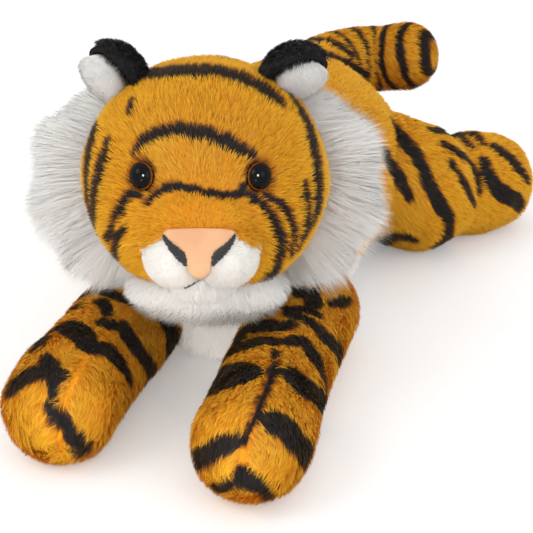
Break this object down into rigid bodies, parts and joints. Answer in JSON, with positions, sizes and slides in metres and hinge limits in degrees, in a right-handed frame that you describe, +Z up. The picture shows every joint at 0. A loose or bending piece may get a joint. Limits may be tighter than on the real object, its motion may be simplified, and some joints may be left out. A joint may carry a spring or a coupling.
{
  "type": "plush tiger",
  "caption": "Lying plush tiger with striped pile, white cheek ruffs, cupped ears, plastic eyes, and a head, legs and tail that swing at their seams.",
  "frame": {"origin": "a point on the middle line of the flat underside of the belly, on the floor", "axes": "+Z up, -Y the way the tiger faces, +X towards the tiger's own left"},
  "size_m": [0.2212, 0.3209, 0.1423],
  "materials": {
    "orange_fur": "matte",
    "white_fur": "matte",
    "black_fur": "matte",
    "nose_cloth": "matte",
    "black_thread": "satin",
    "stuffing": "matte",
    "pouch_cloth": "matte",
    "eye_plastic": "gloss",
    "washer_plastic": "satin"
  },
  "bodies": {
    "torso": {"body_skin": "orange_fur", "belly_panel": "white_fur", "body_stuffing": "stuffing", "belly_bean_pouch": "pouch_cloth"},
    "head": {"head_skin": "orange_fur", "head_stuffing": "stuffing", "muzzle_left": "white_fur", "muzzle_right": "white_fur", "chin_pad": "white_fur", "nose_patch": "nose_cloth", "nostril_left": "black_thread", "nostril_right": "black_thread", "mouth_stitch": "black_thread", "eye_left": "eye_plastic", "eye_right": "eye_plastic", "eye_washer_left": "washer_plastic", "eye_washer_right": "washer_plastic", "ear_left_back": "black_fur", "ear_right_back": "black_fur", "ear_left_lining": "white_fur", "ear_right_lining": "white_fur", "ruff_left": "white_fur", "ruff_right": "white_fur"},
    "front_leg_left": {"front_leg_left_skin": "orange_fur", "front_leg_left_stuffing": "stuffing"},
    "front_leg_right": {"front_leg_right_skin": "orange_fur", "front_leg_right_stuffing": "stuffing"},
    "hind_leg_left": {"hind_leg_left_skin": "orange_fur", "hind_leg_left_stuffing": "stuffing"},
    "hind_leg_right": {"hind_leg_right_skin": "orange_fur", "hind_leg_right_stuffing": "stuffing"},
    "tail": {"tail_skin": "orange_fur", "tail_stuffing": "stuffing"}
  },
  "joints": [
    {"name": "head_turn", "type": "hinge", "parent": "torso", "child": "head", "pos_m": [0, -0.057, 0.063], "axis": [0, -0.7071, 0.7071], "range_deg": [-18, 12], "stiffness_Nm_per_rad": 0.15},
    {"name": "front_leg_left_swing", "type": "hinge", "parent": "torso", "child": "front_leg_left", "pos_m": [0.035, -0.054, 0.02], "axis": [0, 0, 1], "range_deg": [-5, 35], "stiffness_Nm_per_rad": 0.06},
    {"name": "front_leg_right_swing", "type": "hinge", "parent": "torso", "child": "front_leg_right", "pos_m": [-0.035, -0.054, 0.02], "axis": [0, 0, -1], "range_deg": [-5, 35], "stiffness_Nm_per_rad": 0.06},
    {"name": "hind_leg_left_swing", "type": "hinge", "parent": "torso", "child": "hind_leg_left", "pos_m": [0.041, 0.064, 0.04], "axis": [0, 0, 1], "range_deg": [-15, 25], "stiffness_Nm_per_rad": 0.08},
    {"name": "hind_leg_right_swing", "type": "hinge", "parent": "torso", "child": "hind_leg_right", "pos_m": [-0.041, 0.064, 0.04], "axis": [0, 0, -1], "range_deg": [-15, 25], "stiffness_Nm_per_rad": 0.08},
    {"name": "tail_swing", "type": "hinge", "parent": "torso", "child": "tail", "pos_m": [-0.002, 0.082, 0.07], "axis": [0, 0, 1], "range_deg": [-25, 25], "stiffness_Nm_per_rad": 0.03}
  ]
}
